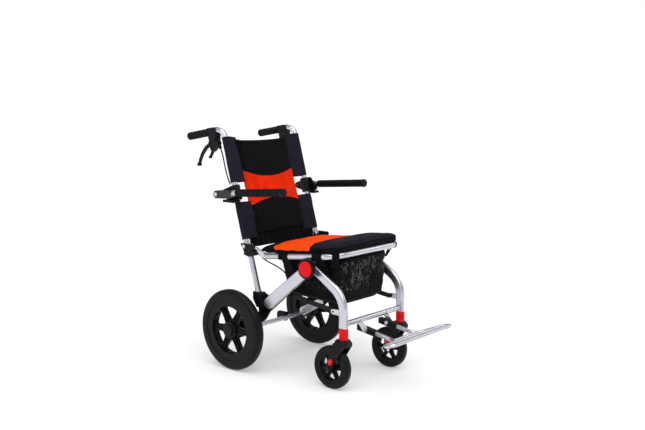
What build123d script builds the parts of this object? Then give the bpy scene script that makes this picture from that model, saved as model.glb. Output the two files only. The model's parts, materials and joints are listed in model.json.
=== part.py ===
from build123d import *
import os
from math import cos, radians, sin, tan

# Folding travel wheelchair (transport chair), millimetres.
# +Z is up, the chair faces -Y, +X is the occupant's left. The origin lies on the floor,
# in the middle of the chair's overall length and width.

# ---------------------------------------------------------------- driving dimensions
AXLE_Y = 216.4            # rear axle, behind the origin
REAR_WHEEL_R = 152.0      # 12 inch rear wheel
REAR_TYRE_IN = 117.0
REAR_TYRE_W = 40.0
REAR_TRACK = 237.0        # wheel mid-plane, each side of the middle
CASTER_R = 77.0           # 6 inch caster
CASTER_TYRE_IN = 57.0
CASTER_TYRE_W = 31.0
CASTER_TRACK = 168.0
STEM_FORE = 478.0         # caster stem, forward of the rear axle
CASTER_TRAIL = 49.0

TUBE_R = 11.0             # round frame tube
TUBE_WALL = 1.8
CLEAR = 0.3               # gap between neighbouring bodies
RUN = 0.05                # radial clearance of a running fit
PIN_R = 6.0

RAIL_X = 185.0            # seat side rail
SEAT_SLOPE = 6.15         # the seat rises towards the front, degrees
PIVOT_FORE, PIVOT_Z = 340.0, 419.0       # fold pivot under the seat
LEG_END_FORE, LEG_END_Z = 146.0, 267.4   # lower end of the rear leg
LEG_IN, LEG_OUT = 181.0, 199.0           # rear leg, inner and outer face
LEG_W = 42.0
FRONT_LEG_X = CASTER_TRACK
FRONT_LEG_T, FRONT_LEG_W = 20.0, 34.0
UPRIGHT_X = 190.0

HINGE_FORE, HINGE_Z = 40.0, 467.5        # backrest hinge
BACK_TUBE_X = 194.0
RECLINE = 15.4            # backrest leans back, degrees
GRIP_SLOPE = 9.2

ARM_X = 230.0
ARM_PIVOT_AFT, ARM_Z = 70.0, 655.0
ARM_SLOPE = 4.2
ARM_END = 262.0           # front of the armrest pad, forward of the rear axle
CABLE_R = 2.5

SIDES = (1, -1)
SIDE_NAME = {1: "left", -1: "right"}
STAY_FRONT = (AXLE_Y - 433, 276.0)       # folding stay's pin on the front leg
STAY_REAR = (AXLE_Y - 195, 305.0)        # its stud on the rear leg
STAY_SPLIT = 130.0 / 240.0               # share of the stay that is its front link


# ---------------------------------------------------------------- placing helpers
def fore(distance):
    """Y of a point this far forward of the rear axle."""
    return AXLE_Y - distance


def back_y(z):
    """Y of the backrest tube's centre line at height z."""
    return fore(HINGE_FORE) + (z - HINGE_Z) * tan(radians(RECLINE))


def seat_z(distance):
    """Height of the side rail's centre line, forward of its rear bend."""
    return 437 + (distance - 124) * tan(radians(SEAT_SLOPE))


def side_plane(side, x_in, x_out):
    """YZ plane at the lower X of a slab between two distances from the middle."""
    return Plane.YZ.offset(min(side * x_in, side * x_out))


def disc(side, x_in, x_out, y, z, radius, mode=Mode.ADD):
    """Cylinder along X between two distances from the middle."""
    with BuildSketch(side_plane(side, x_in, x_out)) as end:
        with Locations((y, z)):
            Circle(radius)
    extrude(end.sketch, amount=x_out - x_in, mode=mode)


def hull_plate(side, x_in, x_out, circles, mode=Mode.ADD):
    """Plate whose outline wraps circles given as (y, z, radius)."""
    with BuildSketch(side_plane(side, x_in, x_out)) as outline:
        for y, z, radius in circles:
            with Locations((y, z)):
                Circle(radius)
        make_hull()
    extrude(outline.sketch, amount=x_out - x_in, mode=mode)


def outline_plate(side, x_in, x_out, points, corner, mode=Mode.ADD):
    """Plate with a straight-sided outline and rounded corners."""
    with BuildSketch(side_plane(side, x_in, x_out)) as outline:
        with BuildLine():
            Polyline(*points, close=True)
        make_face()
        fillet(outline.vertices(), corner)
    extrude(outline.sketch, amount=x_out - x_in, mode=mode)


def tube(points, bends, radius, wall=0.0, mode=Mode.ADD):
    """Round tube along straight runs joined by bends; no wall thickness gives a solid rod."""
    with BuildLine() as path:
        if bends:
            FilletPolyline(*points, radius=bends)
        else:
            Polyline(*points)
    with BuildSketch(Plane(origin=path.line @ 0, z_dir=path.line % 0)) as section:
        Circle(radius)
        if wall:
            Circle(radius - wall, mode=Mode.SUBTRACT)
    sweep(section.sketch, path=path.line, mode=mode)


def easy_bends(points):
    """The largest bend radius that each corner's two runs allow."""
    spots = [Vector(*p) for p in points]
    bends = []
    for before, corner, after in zip(spots, spots[1:], spots[2:]):
        run_in, run_out = corner - before, after - corner
        half_turn = radians(run_in.get_angle(run_out) / 2)
        bends.append(0.45 * min(run_in.length, run_out.length) / tan(half_turn))
    return bends


def save(node, name):
    node.part.label = name
    export_step(node.part, f"parts/{name}.step")


# ---------------------------------------------------------------- seat frame
def rail_points(side):
    x = side * RAIL_X
    return [
        (x, fore(74), 456),
        (x, fore(124), 437),
        (x, fore(458), seat_z(458)),
        (side * 118, fore(458), seat_z(458)),
    ]


RAIL_BENDS = [25, 58]


def make_seat_rail(side):
    with BuildPart() as seat_rail:
        tube(rail_points(side), RAIL_BENDS, TUBE_R, TUBE_WALL)
    save(seat_rail, f"seat_rail_{SIDE_NAME[side]}")


def make_seat_cross_tubes():
    """Front tube in line with the side rails' bends, and a thinner rear tube between the rails."""
    with BuildPart() as seat_cross_tubes:
        tube([(-RAIL_X, fore(165), seat_z(165)), (RAIL_X, fore(165), seat_z(165))], None, 9, 1.5)
        for side in SIDES:
            tube(rail_points(side), RAIL_BENDS, TUBE_R, mode=Mode.SUBTRACT)
        tube([(-118, fore(458), seat_z(458)), (118, fore(458), seat_z(458))], None, TUBE_R, TUBE_WALL)
    save(seat_cross_tubes, "seat_cross_tubes")


def make_seat_hangers():
    y = fore(PIVOT_FORE)
    with BuildPart() as seat_hangers:
        for side in SIDES:
            hull_plate(side, 146, 153, [(y, PIVOT_Z, 15), (y - 14, 446, 5), (y + 14, 446, 5)])
            outline_plate(side, 146, 186, [(y - 19, 441), (y + 19, 441), (y + 19, 456), (y - 19, 456)], 2)
            tube(rail_points(side), RAIL_BENDS, TUBE_R, mode=Mode.SUBTRACT)
            disc(side, 146, 153, y, PIVOT_Z, PIN_R, mode=Mode.SUBTRACT)
    save(seat_hangers, "seat_hangers")


# ---------------------------------------------------------------- rear frame
def make_rear_leg(side):
    top = (fore(PIVOT_FORE), PIVOT_Z)
    end = (fore(LEG_END_FORE), LEG_END_Z)
    half = LEG_W / 2
    with BuildPart() as rear_leg:
        hull_plate(side, LEG_IN, LEG_OUT, [(*top, half), (*end, half)])
        outer = rear_leg.faces().sort_by(Axis.X)[-1 if side > 0 else 0]
        fillet(outer.edges(), 5)
        pocket_a = (top[0] + 34, top[1] - 34 * 0.7815)
        pocket_b = (end[0] - 30, end[1] + 30 * 0.7815)
        hull_plate(side, LEG_IN, LEG_OUT - 3, [(*pocket_a, half - 4), (*pocket_b, half - 4)], Mode.SUBTRACT)
        disc(side, LEG_IN, LEG_OUT, *top, PIN_R, mode=Mode.SUBTRACT)
    save(rear_leg, f"rear_leg_{SIDE_NAME[side]}")


def upright_points(side):
    x = side * UPRIGHT_X
    return [(x, fore(48.5), 452), (x, fore(94), 294)]


def make_lower_uprights():
    with BuildPart() as lower_uprights:
        for side in SIDES:
            tube(upright_points(side), None, TUBE_R, TUBE_WALL)
    save(lower_uprights, "lower_uprights")


def make_hinge_brackets():
    """Clevis that joins the rail and the upright and carries the backrest bolt."""
    y = fore(HINGE_FORE)
    ear = [(y + 20, HINGE_Z + 11), (y - 4, 441), (y - 34, 450), (y - 58, 470), (y - 52, 479)]
    core = [(y + 5, 436), (y + 2, 450), (y - 22, 451), (y - 50, 453.5), (y - 52, 438), (y - 20, 430)]
    with BuildPart() as hinge_brackets:
        for side in SIDES:
            outline_plate(side, 207.7, 211, ear, 4)
            hull_plate(side, 175, 181, [(y, HINGE_Z, 10), (y - 4, 446, 8), (y - 18, 446, 6)])
            outline_plate(side, 175, 207.7, core, 2)
            tube(rail_points(side), RAIL_BENDS, TUBE_R, mode=Mode.SUBTRACT)
            tube(upright_points(side), None, TUBE_R, mode=Mode.SUBTRACT)
            disc(side, 175, 211, y, HINGE_Z, 5, mode=Mode.SUBTRACT)
    save(hinge_brackets, "hinge_brackets")


def make_rear_brackets():
    """Castings that gather the upright, the rear leg and the axle plate."""
    block = [(fore(120), 303), (fore(76), 303), (fore(76), 276), (fore(94), 246), (fore(128), 246)]
    web = [
        (fore(104), 300), (fore(82), 290), (fore(84), 200), (fore(100), 184),
        (fore(118), 200), (fore(160), 262), (fore(150), 284),
    ]
    with BuildPart() as rear_brackets:
        for side in SIDES:
            outline_plate(side, 181, 203, block, 4)
            outline_plate(side, 173, 181, web, 6)
            hull_plate(
                side, LEG_IN, LEG_OUT,
                [(fore(PIVOT_FORE), PIVOT_Z, LEG_W / 2), (fore(LEG_END_FORE), LEG_END_Z, LEG_W / 2)],
                Mode.SUBTRACT,
            )
            tube(upright_points(side), None, TUBE_R, mode=Mode.SUBTRACT)
    save(rear_brackets, "rear_brackets")


def make_rear_axle_frame():
    """Flat crossbar with a plate at each end that runs forward and up to the leg."""
    with BuildPart() as rear_axle_frame:
        with BuildSketch(Plane.YZ.offset(-166)):
            with Locations((fore(-10), 138)):
                RectangleRounded(24, 14, 6.5)
                RectangleRounded(20, 10, 4.5, mode=Mode.SUBTRACT)
        extrude(amount=332)
        for side in SIDES:
            hull_plate(side, 166, 173, [(fore(-4), 147, 17), (fore(88), 197, 15)])
            disc(side, 166, 173, AXLE_Y, REAR_WHEEL_R, PIN_R, mode=Mode.SUBTRACT)
    save(rear_axle_frame, "rear_axle_frame")


def make_tip_pedals():
    """Rubber-capped pedals behind the crossbar, pressed with a foot to lift the casters."""
    with BuildPart() as tip_pedals:
        for side in SIDES:
            with BuildSketch(Plane.XZ.offset(-fore(-22))):
                with Locations((side * 84, 138)):
                    RectangleRounded(26, 36, 9)
            extrude(amount=-42)
        fillet(tip_pedals.faces().sort_by(Axis.Y)[-2:].edges(), 6)
    save(tip_pedals, "tip_pedals")


def make_brake_drums():
    with BuildPart() as brake_drums:
        for side in SIDES:
            disc(side, 173, 190, AXLE_Y, REAR_WHEEL_R, 20)
            disc(side, 190, 213, AXLE_Y, REAR_WHEEL_R, 37)
            disc(side, 173, 213, AXLE_Y, REAR_WHEEL_R, PIN_R, mode=Mode.SUBTRACT)
        rims = brake_drums.edges().filter_by(GeomType.CIRCLE).filter_by(lambda e: e.radius > 36)
        fillet(rims, 3)
    save(brake_drums, "brake_drums")


def make_brake_arm(side):
    """Lever on the drum's neck that the brake cable pulls."""
    tip = (fore(103), 226)
    with BuildPart() as brake_arm:
        hull_plate(side, 184, 188, [(AXLE_Y, REAR_WHEEL_R, 27), (fore(40), 180, 8)])
        hull_plate(side, 184, 188, [(fore(30), 174, 8), (*tip, 7)])
        disc(side, 184, 188, AXLE_Y, REAR_WHEEL_R, 20 + RUN, mode=Mode.SUBTRACT)
        disc(side, 181.6, 190.4, *tip, 3.5)
    save(brake_arm, f"brake_arm_{SIDE_NAME[side]}")


def make_frame_bolts():
    """Fold pivot pins, hinge bolts, axle bolts, stay studs and cable adjusters."""
    with BuildPart() as frame_bolts:
        for side in SIDES:
            pivot = (fore(PIVOT_FORE), PIVOT_Z)
            disc(side, 146, 201.5, *pivot, PIN_R)
            disc(side, 141, 146, *pivot, 10)
            hinge = (fore(HINGE_FORE), HINGE_Z)
            disc(side, 175, 211, *hinge, 5)
            disc(side, 171, 175, *hinge, 8)
            disc(side, 211, 213.5, *hinge, 7.5)
            axle = (AXLE_Y, REAR_WHEEL_R)
            disc(side, 166, 252, *axle, PIN_R)
            disc(side, 159, 166, *axle, 6.5)
            disc(side, 147, 181, *STAY_REAR, 4)
            disc(side, 145, 147, *STAY_REAR, 6.5)
            disc(side, 157.2, 163, *STAY_REAR, 7)
            hull_plate(side, 177, 181, [(*STAY_REAR, 9), (fore(205), 313, 9)])
            cable_end = lower_cable_points(side)[-1]
            adjuster_end = (cable_end[0], cable_end[1] + 22, cable_end[2] - 17.6)
            tube([cable_end, adjuster_end], None, 4.5)
            with Locations((side * 170.5, fore(146), 246)):
                Box(5, 9, 9)
    save(frame_bolts, "frame_bolts")


def make_pivot_rings():
    """Dished black housings over the fold pivot, each with a recess for the release button."""
    pivot = (fore(PIVOT_FORE), PIVOT_Z)
    with BuildPart() as pivot_rings:
        for side in SIDES:
            disc(side, LEG_OUT, 211, *pivot, 36)
            disc(side, 202.5, 211, *pivot, 28.3, mode=Mode.SUBTRACT)
            disc(side, LEG_OUT, 202.5, *pivot, PIN_R, mode=Mode.SUBTRACT)
        lips = pivot_rings.edges().filter_by(GeomType.CIRCLE).filter_by(lambda e: e.radius > 35)
        outer_lips = lips.filter_by(lambda e: abs(e.center().X) > 210)
        fillet(outer_lips, 3)
    save(pivot_rings, "pivot_rings")


def make_release_button(side):
    pivot = (fore(PIVOT_FORE), PIVOT_Z)
    with BuildPart() as release_button:
        disc(side, 206, 213, *pivot, 28)
        face = release_button.faces().sort_by(Axis.X)[-1 if side > 0 else 0]
        fillet(face.edges(), 2.5)
    save(release_button, f"release_button_{SIDE_NAME[side]}")


# ---------------------------------------------------------------- brake cables
def lower_cable_points(side):
    x = side * 166
    return [
        (x, fore(92), 424), (x, fore(122), 412), (x, fore(165), 402), (x, fore(206), 384),
        (x, fore(232), 350), (x, fore(226), 314), (x, fore(196), 284), (x, fore(156), 252),
    ]


def make_lower_brake_cables():
    with BuildPart() as lower_brake_cables:
        for side in SIDES:
            points = lower_cable_points(side)
            bends = easy_bends(points)
            tube(points, bends, CABLE_R)
    print("lower cable bends", [round(b) for b in bends])
    save(lower_brake_cables, "lower_brake_cables")


# ---------------------------------------------------------------- front frame
def front_leg_sweep(path, shrink, mode):
    """Flat-sided oval swept along the leg, smaller by shrink in both directions."""
    with BuildSketch(Plane(origin=path @ 0, x_dir=(1, 0, 0), z_dir=path % 0)) as section:
        RectangleRounded(FRONT_LEG_T - shrink, FRONT_LEG_W - shrink, (FRONT_LEG_T - shrink) / 2 - 0.5)
    sweep(section.sketch, path=path, mode=mode)


def make_front_leg(side):
    x = side * FRONT_LEG_X
    x_in, x_out = FRONT_LEG_X - FRONT_LEG_T / 2, FRONT_LEG_X + FRONT_LEG_T / 2
    pivot = (fore(PIVOT_FORE), PIVOT_Z)
    with BuildPart() as front_leg:
        with BuildLine() as path:
            FilletPolyline(
                (x, pivot[0] - 8, PIVOT_Z - 5.2), (x, fore(STEM_FORE - 1), 330), (x, fore(STEM_FORE - 1), 223), radius=95
            )
        front_leg_sweep(path.line, 0, Mode.ADD)
        front_leg_sweep(path.line, 5, Mode.SUBTRACT)
        disc(side, x_in, x_out, *pivot, FRONT_LEG_W / 2)
        with BuildSketch(Plane.XY.offset(223)):
            with Locations((x, fore(STEM_FORE - 1))):
                RectangleRounded(FRONT_LEG_T, FRONT_LEG_W, FRONT_LEG_T / 2 - 0.5)
        extrude(amount=10)
        hull_plate(side, 164, 172, [(fore(462), 276, 10), (fore(433), 276, 9)])
        disc(side, x_in, x_out, *pivot, PIN_R + RUN, mode=Mode.SUBTRACT)
        disc(side, x_in, x_out, fore(433), 276, 3, mode=Mode.SUBTRACT)
    save(front_leg, f"front_leg_{SIDE_NAME[side]}")


FOOT_PIVOT = (fore(499), 204)


def make_front_cross_tube():
    """Tube between the front legs with two welded lugs and the footrest's pivot bolts."""
    with BuildPart() as front_cross_tube:
        tube([(-158, fore(476), 236), (158, fore(476), 236)], None, 9.5)
        for side in SIDES:
            hull_plate(side, 74, 78, [(*FOOT_PIVOT, 10), (fore(478), 233, 11)])
            disc(side, 53, 79.5, *FOOT_PIVOT, 4)
            disc(side, 79, 82, *FOOT_PIVOT, 6.5)
            disc(side, 49.5, 53, *FOOT_PIVOT, 6.5)
        tube([(-158, fore(476), 236), (158, fore(476), 236)], None, 7.9, mode=Mode.SUBTRACT)
    save(front_cross_tube, "front_cross_tube")


def make_caster_collars():
    """Ribbed red sleeves between the front legs and the swivelling forks."""
    with BuildPart() as caster_collars:
        for side in SIDES:
            x, y = side * CASTER_TRACK, fore(STEM_FORE)
            with BuildSketch(Plane.XY.offset(184)):
                with Locations((x, y)):
                    Circle(14.5)
            extrude(amount=39)
            for height in (184, 193, 202, 211):
                with BuildSketch(Plane.XY.offset(height)):
                    with Locations((x, y)):
                        Circle(16.3)
                extrude(amount=7)
            with BuildSketch(Plane.XY.offset(184)):
                with Locations((x, y)):
                    Circle(8 + RUN)
            extrude(amount=37, mode=Mode.SUBTRACT)
    save(caster_collars, "caster_collars")


# ---------------------------------------------------------------- folding stays


def stay_knuckle():
    return tuple(a + (b - a) * STAY_SPLIT for a, b in zip(STAY_FRONT, STAY_REAR))


def make_front_stays():
    with BuildPart() as front_stays:
        for side in SIDES:
            hull_plate(side, 157, 163.5, [(*STAY_FRONT, 8), (*stay_knuckle(), 8)])
            disc(side, 163.5, 164, *STAY_FRONT, 5)
            disc(side, 160, 173.5, *STAY_FRONT, 3 - RUN)
            disc(side, 163.5, 166, *stay_knuckle(), 6)
    save(front_stays, "front_stays")


def make_rear_stays():
    with BuildPart() as rear_stays:
        for side in SIDES:
            hull_plate(side, 150, 156.5, [(*stay_knuckle(), 8), (*STAY_REAR, 8)])
            disc(side, 147.5, 150, *stay_knuckle(), 6)
            disc(side, 150, 156.5, *STAY_REAR, 4 + RUN, mode=Mode.SUBTRACT)
    save(rear_stays, "rear_stays")


# ---------------------------------------------------------------- footrest
ARM_DROP = 0.163          # the footrest arms fall this much per unit forward


def make_footrest_sleeves():
    """Black box sleeves that pivot on the lugs and stop under the cross tube."""
    y, z = FOOT_PIVOT
    rear, front = (y + 37, z + 3), (y - 39, z - 9.4)
    with BuildPart() as footrest_sleeves:
        for side in SIDES:
            with BuildSketch(side_plane(side, 53.5, 73.5)):
                with BuildLine():
                    Polyline(
                        (rear[0], rear[1] - 10), (front[0], front[1] - 10),
                        (front[0], front[1] + 10), (rear[0], rear[1] + 10), close=True,
                    )
                make_face()
            extrude(amount=20)
            disc(side, 53.5, 73.5, y, z, 4 + RUN, mode=Mode.SUBTRACT)
    save(footrest_sleeves, "footrest_sleeves")


PLATE_HALF = 179.0
PLATE_REAR, PLATE_FRONT = 654.0, 696.0
PLATE_BAR = 622.0
PLATE_Z = 198.0


def make_footplate():
    """Arms bent from tube, a closed loop and a middle bar."""
    y, z = FOOT_PIVOT
    corners = [
        (-PLATE_HALF, fore(PLATE_REAR), PLATE_Z - 5), (PLATE_HALF, fore(PLATE_REAR), PLATE_Z - 5),
        (PLATE_HALF, fore(PLATE_FRONT), PLATE_Z + 5), (-PLATE_HALF, fore(PLATE_FRONT), PLATE_Z + 5),
    ]
    middle = fore((PLATE_REAR + PLATE_FRONT) / 2)
    with BuildPart() as footplate:
        with BuildLine() as loop:
            FilletPolyline(*corners, radius=19, close=True)
        start = loop.line @ 0
        with BuildSketch(Plane(origin=start, z_dir=loop.line % 0)):
            Circle(6.2)
        sweep(path=loop.line)
        tube([(-PLATE_HALF, middle, PLATE_Z), (PLATE_HALF, middle, PLATE_Z)], None, 5)
        bar = (fore(PLATE_BAR), PLATE_Z - 13)
        tube([(-72, *bar), (72, *bar)], None, 6)
        for side in SIDES:
            x = side * 63.5
            tube(
                [
                    (x, y - 40.3, z - 9.6),
                    (x, y - 118, z - 9.4 - 79 * ARM_DROP),
                    (side * 132, fore(PLATE_REAR), PLATE_Z - 5),
                ],
                [30], 7.2,
            )
            with BuildSketch(Plane.XY.offset(PLATE_Z - 14)):
                with Locations((side * 181, fore(676))):
                    Circle(4)
            extrude(amount=12)
    save(footplate, "footplate")


# ---------------------------------------------------------------- casters
def make_caster_fork(side):
    x, y = side * CASTER_TRACK, fore(STEM_FORE)
    axle_y = y + CASTER_TRAIL
    with BuildPart() as caster_fork:
        with BuildSketch(Plane.XY.offset(158)):
            with Locations((x, y + 4)):
                RectangleRounded(53, 50, 19)
        extrude(amount=25.5)
        fillet(caster_fork.faces().sort_by(Axis.Z)[-1].edges(), 9)
        for x_in, x_out in ((CASTER_TRACK - 26.5, CASTER_TRACK - 19), (CASTER_TRACK + 19, CASTER_TRACK + 26.5)):
            hull_plate(side, x_in, x_out, [(y - 6, 164, 12), (y + 18, 164, 11), (axle_y, CASTER_R, 12)])
        with BuildSketch(Plane.XY.offset(183)):
            with Locations((x, y)):
                Circle(8)
        extrude(amount=36)
        for x_in, x_out in ((CASTER_TRACK - 26.5, CASTER_TRACK - 19), (CASTER_TRACK + 19, CASTER_TRACK + 26.5)):
            disc(side, x_in, x_out, axle_y, CASTER_R, 4, mode=Mode.SUBTRACT)
    save(caster_fork, f"caster_fork_{SIDE_NAME[side]}")


def make_caster_axle(side):
    """Axle bolt, and the oval red cap on each fork leg above it."""
    axle_y = fore(STEM_FORE - CASTER_TRAIL)
    with BuildPart() as caster_axle:
        disc(side, CASTER_TRACK - 29, CASTER_TRACK + 29, axle_y, CASTER_R, 4)
        for x_in, x_out in ((CASTER_TRACK - 30, CASTER_TRACK - 26.5), (CASTER_TRACK + 26.5, CASTER_TRACK + 30)):
            hull_plate(side, x_in, x_out, [(axle_y - 14, CASTER_R + 29, 7.5), (axle_y - 10, CASTER_R + 22, 7.5)])
            disc(side, x_in, x_out, axle_y, CASTER_R, 7)
    save(caster_axle, f"caster_axle_{SIDE_NAME[side]}")


def tyre(centre, radius, inner, width, crown):
    """Tyre about an X axis through centre, its section rounded towards the ground."""
    x, y, z = centre
    with BuildSketch(Plane.XZ.offset(-y)) as section:
        with Locations((x, z + (radius + inner) / 2)):
            Rectangle(width, radius - inner)
        fillet(section.vertices().group_by(Axis.Y)[-1], crown)
        fillet(section.vertices().group_by(Axis.Y)[0], 2)
    revolve(section.sketch, axis=Axis(centre, (1, 0, 0)))


def ring(centre, inner, outer, width, mode=Mode.ADD):
    """Ring about an X axis through centre."""
    x, y, z = centre
    with BuildSketch(Plane.YZ.offset(x - width / 2)) as section:
        with Locations((y, z)):
            Circle(outer)
            Circle(inner, mode=Mode.SUBTRACT)
    extrude(section.sketch, amount=width, mode=mode)


def wheel_windows(centre, count, width, near, far, spread, small, big):
    """Heart-shaped windows between the spokes: two lobes and a middle that share an inner circle."""
    x, y, z = centre
    for index in range(count):
        middle = radians(360 / count * (index + 0.5))
        for lean, reach in ((-radians(spread), far), (0.0, far - big / 3), (radians(spread), far)):
            with BuildSketch(Plane.YZ.offset(x - width / 2)) as window:
                with Locations((y + near * cos(middle), z + near * sin(middle))):
                    Circle(small)
                with Locations((y + reach * cos(middle + lean), z + reach * sin(middle + lean))):
                    Circle(big)
                make_hull()
            extrude(window.sketch, amount=width, mode=Mode.SUBTRACT)


def spoke_ribs(centre, count, start, stop, gap, rib, width):
    """Two ribs along every spoke."""
    x, y, z = centre
    for index in range(count):
        turn = 360 / count * index
        with BuildSketch(Plane.YZ.offset(x - width / 2)) as ribs:
            with Locations(Location((y, z, 0), (0, 0, turn))):
                with Locations(((start + stop) / 2, gap), ((start + stop) / 2, -gap)):
                    Rectangle(stop - start, rib)
        extrude(ribs.sketch, amount=width)


def make_caster_wheel(side):
    centre = (side * CASTER_TRACK, fore(STEM_FORE - CASTER_TRAIL), CASTER_R)
    with BuildPart() as caster_tyre:
        tyre(centre, CASTER_R, CASTER_TYRE_IN, CASTER_TYRE_W, 11)
    save(caster_tyre, f"caster_tyre_{SIDE_NAME[side]}")
    with BuildPart() as caster_rim:
        ring(centre, 4 + RUN, CASTER_TYRE_IN, 9)
        wheel_windows(centre, 6, 9, 24, 39, 12, 3, 7)
        spoke_ribs(centre, 6, 12, 49, 3.2, 1.8, 17)
        ring(centre, 47, CASTER_TYRE_IN, 27)
        ring(centre, 4 + RUN, 15, 36)
    save(caster_rim, f"caster_rim_{SIDE_NAME[side]}")


# ---------------------------------------------------------------- rear wheels
def make_rear_wheel(side):
    centre = (side * REAR_TRACK, AXLE_Y, REAR_WHEEL_R)
    with BuildPart() as rear_tyre:
        tyre(centre, REAR_WHEEL_R, REAR_TYRE_IN, REAR_TYRE_W, 16)
    save(rear_tyre, f"rear_tyre_{SIDE_NAME[side]}")
    with BuildPart() as rear_rim:
        ring(centre, PIN_R + RUN, REAR_TYRE_IN, 12)
        wheel_windows(centre, 6, 12, 41, 76, 11, 4.5, 14)
        spoke_ribs(centre, 6, 26, 92, 5.5, 3, 24)
        ring(centre, 90, REAR_TYRE_IN, 34)
        ring(centre, PIN_R + RUN, 32, 36)
        disc(side, 253, 262, AXLE_Y, REAR_WHEEL_R, 23)
        cap = rear_rim.faces().sort_by(Axis.X)[-1 if side > 0 else 0]
        fillet(cap.edges(), 5)
    save(rear_rim, f"rear_rim_{SIDE_NAME[side]}")


# ---------------------------------------------------------------- backrest
GRIP_CORNER_Z = 892.5
GRIP_CORNER_AFT = AXLE_Y * -1 + back_y(GRIP_CORNER_Z)
GRIP_END_AFT = 262.0


def grip_point(aft):
    """Centre line of the push handle, this far behind the rear axle."""
    return fore(-aft), GRIP_CORNER_Z - (aft - GRIP_CORNER_AFT) * tan(radians(GRIP_SLOPE))


def back_tube_points(side):
    x = side * BACK_TUBE_X
    return [
        (x, back_y(HINGE_Z), HINGE_Z),
        (x, *grip_point(GRIP_CORNER_AFT)),
        (x, *grip_point(GRIP_END_AFT)),
    ]


BACK_BEND = [34]
BACK_CROSS_Z = 575.0
BACK_CROSS_R = 8.0


def make_back_tube(side):
    y = fore(HINGE_FORE)
    with BuildPart() as back_tube:
        tube(back_tube_points(side), BACK_BEND, TUBE_R, TUBE_WALL)
        disc(side, BACK_TUBE_X - TUBE_R, BACK_TUBE_X + TUBE_R, y, HINGE_Z, TUBE_R)
        disc(side, BACK_TUBE_X - TUBE_R, BACK_TUBE_X + TUBE_R, y, HINGE_Z, 5 + RUN, mode=Mode.SUBTRACT)
    save(back_tube, f"back_tube_{SIDE_NAME[side]}")


def make_back_cross_tube():
    height = BACK_CROSS_Z
    with BuildPart() as back_cross_tube:
        tube([(-190, back_y(height), height), (190, back_y(height), height)], None, BACK_CROSS_R, 1.5)
        for side in SIDES:
            tube(back_tube_points(side), BACK_BEND, TUBE_R, mode=Mode.SUBTRACT)
    save(back_cross_tube, "back_cross_tube")


def back_plane(height):
    """Plane across the backrest at this height, its Z along the tubes."""
    lean = radians(RECLINE)
    return Plane(origin=(0, back_y(height), height), x_dir=(1, 0, 0), z_dir=(0, sin(lean), cos(lean)))


def along_back(low, high):
    return (high - low) / cos(radians(RECLINE))


PANEL_HALF = 147.0
SLEEVE_TUBE_R = TUBE_R + CLEAR


def make_back_panel():
    with BuildPart() as back_panel:
        with BuildSketch(back_plane(490)):
            with Locations((0, -5)):
                RectangleRounded(2 * PANEL_HALF, 14, 6)
        extrude(amount=along_back(490, 864))
        middle = (back_y(BACK_CROSS_Z), BACK_CROSS_Z)
        tube([(-200, *middle), (200, *middle)], None, BACK_CROSS_R + CLEAR, mode=Mode.SUBTRACT)
    save(back_panel, "back_panel")


def make_back_sleeves():
    """Fabric sleeves round the tubes, with a gap at the armrests."""
    with BuildPart() as back_sleeves:
        for side in SIDES:
            for low, high in ((494, 626), (697, 861)):
                with BuildSketch(back_plane(low)):
                    with Locations((side * 177.7, -1)):
                        RectangleRounded(59.4, 28, 12)
                    with Locations((side * BACK_TUBE_X, 0)):
                        Circle(SLEEVE_TUBE_R, mode=Mode.SUBTRACT)
                extrude(amount=along_back(low, high))
        middle = (back_y(BACK_CROSS_Z), BACK_CROSS_Z)
        tube([(-200, *middle), (200, *middle)], None, BACK_CROSS_R + CLEAR, mode=Mode.SUBTRACT)
    save(back_sleeves, "back_sleeves")


def make_back_skirt():
    """Gathered fabric that closes the gap between the backrest and the seat."""
    with BuildPart() as back_skirt:
        with BuildSketch(back_plane(470)):
            with Locations((0, -5)):
                RectangleRounded(2 * PANEL_HALF, 10, 4)
        extrude(amount=along_back(470, 489.5))
    save(back_skirt, "back_skirt")


# ---------------------------------------------------------------- armrests
ARM_PIVOT = (fore(-ARM_PIVOT_AFT), ARM_Z)


def arm_point(forward):
    """Centre line of the armrest, this far forward of the rear axle."""
    return fore(forward), 665 + (forward - 24) * tan(radians(ARM_SLOPE))


def make_armrest_brackets():
    """Clamps on the backrest tubes with an outer plate and a shelf that the armrest rests on."""
    with BuildPart() as armrest_brackets:
        for side in SIDES:
            with BuildSketch(back_plane(634)):
                with Locations((side * BACK_TUBE_X, 0)):
                    RectangleRounded(30, 30, 8)
                    Circle(TUBE_R, mode=Mode.SUBTRACT)
            extrude(amount=along_back(634, 688))
            hull_plate(
                side, 207, 214.5,
                [(*ARM_PIVOT, 12), (fore(-6), 684, 8), (fore(-8), 638, 8), (fore(24), 650, 8)],
            )
            outline_plate(side, 207, 238, [(fore(-40), 628), (fore(20), 628), (fore(20), 637), (fore(-40), 637)], 2)
            disc(side, 207, 214.5, *ARM_PIVOT, 5 + RUN, mode=Mode.SUBTRACT)
    save(armrest_brackets, "armrest_brackets")


def make_armrest_frame(side):
    """Rear pivot housing with the bar that carries the pad."""
    x = side * ARM_X
    with BuildPart() as armrest_frame:
        front = arm_point(-3)
        hull_plate(side, 216, 244, [(ARM_PIVOT[0], ARM_PIVOT[1] - 0.5, 14.5), (front[0], 658, 15)])
        tube([(x, *arm_point(0)), (x, *arm_point(26))], None, 12)
        tube([(x, *arm_point(20)), (x, *arm_point(ARM_END - 8))], None, 8)
        disc(side, 207, 244, *ARM_PIVOT, 5)
        disc(side, 244, 247, *ARM_PIVOT, 8)
    save(armrest_frame, f"armrest_frame_{SIDE_NAME[side]}")


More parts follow.
